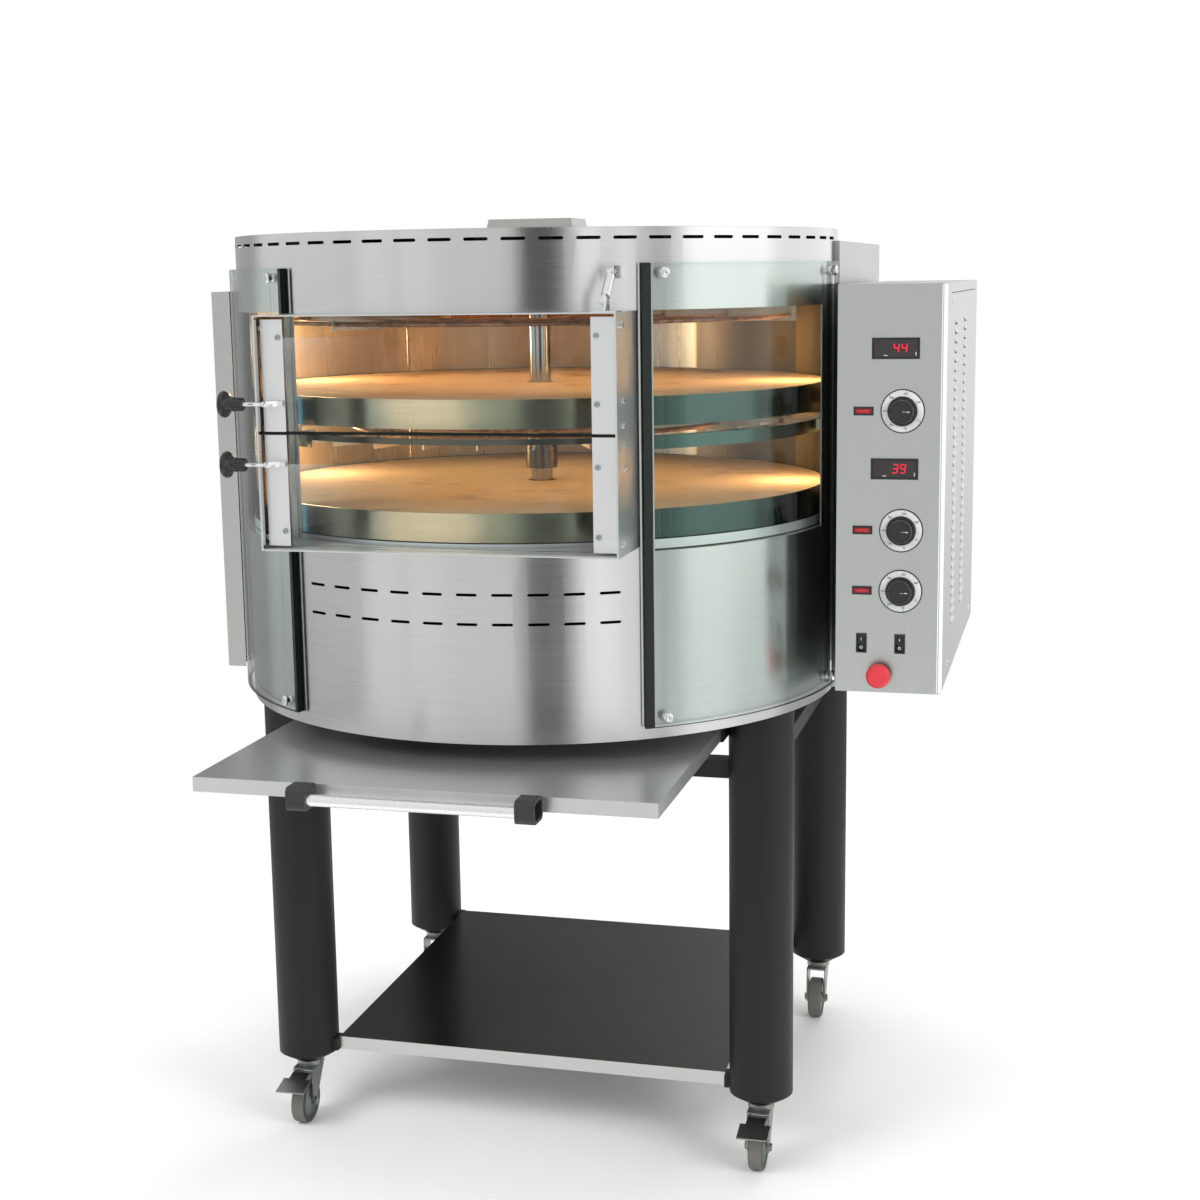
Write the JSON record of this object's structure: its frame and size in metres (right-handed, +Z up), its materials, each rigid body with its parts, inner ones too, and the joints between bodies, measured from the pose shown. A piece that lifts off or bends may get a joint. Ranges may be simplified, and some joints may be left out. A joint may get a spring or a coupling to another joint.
{
  "type": "rotating pizza oven",
  "caption": "Round glazed deck oven with turning stone decks, lift-up and drop-down glass doors, a side control case and a pull-out shelf, on a castored stand.",
  "frame": {"origin": "on the floor under the centre of the whole footprint, doors shut and shelf pulled out", "axes": "+Z up, +Y to the back, so the doors and the shelf face -Y; +X to the control case"},
  "size_m": [1.2676, 1.349, 1.631],
  "materials": {
    "steel": "brushed",
    "polished_steel": "satin",
    "panel_steel": "matte",
    "dark_steel": "satin",
    "bright_steel": "polished",
    "heater": "oxidised",
    "black_paint": "satin",
    "cast": "cast",
    "clear_glass": "polished",
    "lamp_glass": "frosted",
    "stone": "matte",
    "wool": "matte",
    "seal": "matte",
    "black_plastic": "matte",
    "gloss_black": "gloss",
    "red_plastic": "gloss",
    "dial": "satin",
    "tread": "matte"
  },
  "bodies": {
    "oven": {"drum_shell": "steel", "top_cover": "steel", "bearing_cap": "steel", "base_plate": "steel", "chamber_liner": "polished_steel", "insulation": "wool", "rear_housing": "steel", "rear_cover": "steel", "left_side_cover": "steel", "control_case": "panel_steel", "control_panel": "panel_steel", "panel_indicators": "gloss_black", "dial_scales": "dial", "thermostats": "polished_steel", "switch_bezels": "black_plastic", "door_frame": "polished_steel", "frame_stay": "bright_steel", "door_fittings": "bright_steel", "side_windows": "clear_glass", "window_seals": "seal", "window_screws": "bright_steel", "heater_elements": "heater", "heater_supports": "polished_steel", "chamber_lamps": "lamp_glass", "shaft_bearings": "cast", "gearmotor": "cast", "cable_gland": "black_plastic", "legs": "black_paint", "stand_frame": "black_paint", "lower_shelf": "dark_steel"},
    "turntable": {"main_shaft": "polished_steel", "deck_pans": "polished_steel", "deck_stones": "stone", "main_gear": "polished_steel"},
    "pinion": {"motor_pinion": "polished_steel"},
    "upper_door": {"upper_door_glass": "clear_glass", "upper_door_brackets": "panel_steel", "upper_door_handle": "black_plastic"},
    "lower_door": {"lower_door_glass": "clear_glass", "lower_door_brackets": "panel_steel", "lower_door_handle": "black_plastic"},
    "shelf": {"pull_shelf": "steel", "shelf_handle_ends": "black_plastic", "shelf_handle_tube": "bright_steel"},
    "stop": {"stop_button": "red_plastic"},
    "knob_1": {"dial_knob_1": "black_plastic"},
    "knob_2": {"dial_knob_2": "black_plastic"},
    "knob_3": {"dial_knob_3": "black_plastic"},
    "switch_1": {"rocker_1": "black_plastic"},
    "pedal_1": {"brake_pedal_1": "bright_steel"},
    "switch_2": {"rocker_2": "black_plastic"},
    "pedal_2": {"brake_pedal_2": "bright_steel"},
    "castor_1": {"castor_fork_1": "bright_steel"},
    "wheel_1": {"castor_wheel_1": "tread"},
    "castor_2": {"castor_fork_2": "bright_steel"},
    "wheel_2": {"castor_wheel_2": "tread"},
    "castor_3": {"castor_fork_3": "bright_steel"},
    "wheel_3": {"castor_wheel_3": "tread"},
    "castor_4": {"castor_fork_4": "bright_steel"},
    "wheel_4": {"castor_wheel_4": "tread"}
  },
  "joints": [
    {"name": "turntable_spin", "type": "hinge", "parent": "oven", "child": "turntable", "pos_m": [-0.08875, 0.0525, 1.2], "axis": [0, 0, 1], "continuous": true},
    {"name": "pinion_spin", "type": "hinge", "parent": "oven", "child": "pinion", "pos_m": [-0.08875, 0.1875, 0.88], "axis": [0, 0, 1], "continuous": true},
    {"name": "upper_door_hinge", "type": "hinge", "parent": "oven", "child": "upper_door", "pos_m": [-0.08875, -0.4955, 1.462], "axis": [-1, 0, 0], "range_deg": [0, 85]},
    {"name": "lower_door_hinge", "type": "hinge", "parent": "oven", "child": "lower_door", "pos_m": [-0.08875, -0.4955, 1.142], "axis": [1, 0, 0], "range_deg": [0, 85]},
    {"name": "shelf_slide", "type": "slide", "parent": "oven", "child": "shelf", "axis": [0, -1, 0], "range_m": [-0.4, 0.06]},
    {"name": "stop_push", "type": "slide", "parent": "oven", "child": "stop", "axis": [0, 1, 0], "range_m": [0, 0.005], "stiffness_N_per_m": 300},
    {"name": "knob_1_turn", "type": "hinge", "parent": "oven", "child": "knob_1", "pos_m": [0.56425, -0.1275, 1.312], "axis": [0, 1, 0], "range_deg": [0, 300]},
    {"name": "knob_2_turn", "type": "hinge", "parent": "oven", "child": "knob_2", "pos_m": [0.56425, -0.1275, 1.119], "axis": [0, 1, 0], "range_deg": [0, 300]},
    {"name": "knob_3_turn", "type": "hinge", "parent": "oven", "child": "knob_3", "pos_m": [0.56425, -0.1275, 1.0195], "axis": [0, 1, 0], "range_deg": [0, 300]},
    {"name": "switch_1_rock", "type": "hinge", "parent": "oven", "child": "switch_1", "pos_m": [0.50175, -0.1105, 0.932], "axis": [1, 0, 0], "range_deg": [0, 16]},
    {"name": "switch_2_rock", "type": "hinge", "parent": "oven", "child": "switch_2", "pos_m": [0.56425, -0.1105, 0.932], "axis": [1, 0, 0], "range_deg": [0, 16]},
    {"name": "castor_1_swivel", "type": "hinge", "parent": "oven", "child": "castor_1", "pos_m": [-0.51175, -0.1075, 0.106], "axis": [0, 0, 1], "continuous": true},
    {"name": "wheel_1_roll", "type": "hinge", "parent": "castor_1", "child": "wheel_1", "pos_m": [-0.51175, -0.1355, 0.04], "axis": [1, 0, 0], "continuous": true},
    {"name": "brake_1_press", "type": "hinge", "parent": "castor_1", "child": "pedal_1", "pos_m": [-0.51175, -0.1435, 0.094], "axis": [1, 0, 0], "range_deg": [0, 12]},
    {"name": "castor_2_swivel", "type": "hinge", "parent": "oven", "child": "castor_2", "pos_m": [0.33425, -0.1075, 0.106], "axis": [0, 0, 1], "continuous": true},
    {"name": "wheel_2_roll", "type": "hinge", "parent": "castor_2", "child": "wheel_2", "pos_m": [0.33425, -0.1355, 0.04], "axis": [1, 0, 0], "continuous": true},
    {"name": "brake_2_press", "type": "hinge", "parent": "castor_2", "child": "pedal_2", "pos_m": [0.33425, -0.1435, 0.094], "axis": [1, 0, 0], "range_deg": [0, 12]},
    {"name": "castor_3_swivel", "type": "hinge", "parent": "oven", "child": "castor_3", "pos_m": [-0.51175, 0.5975, 0.106], "axis": [0, 0, 1], "continuous": true},
    {"name": "wheel_3_roll", "type": "hinge", "parent": "castor_3", "child": "wheel_3", "pos_m": [-0.51175, 0.5695, 0.04], "axis": [1, 0, 0], "continuous": true},
    {"name": "castor_4_swivel", "type": "hinge", "parent": "oven", "child": "castor_4", "pos_m": [0.33425, 0.5975, 0.106], "axis": [0, 0, 1], "continuous": true},
    {"name": "wheel_4_roll", "type": "hinge", "parent": "castor_4", "child": "wheel_4", "pos_m": [0.33425, 0.5695, 0.04], "axis": [1, 0, 0], "continuous": true}
  ],
  "couplings": [
    {"joint": "pinion_spin", "follows": "turntable_spin", "ratio": -4}
  ]
}
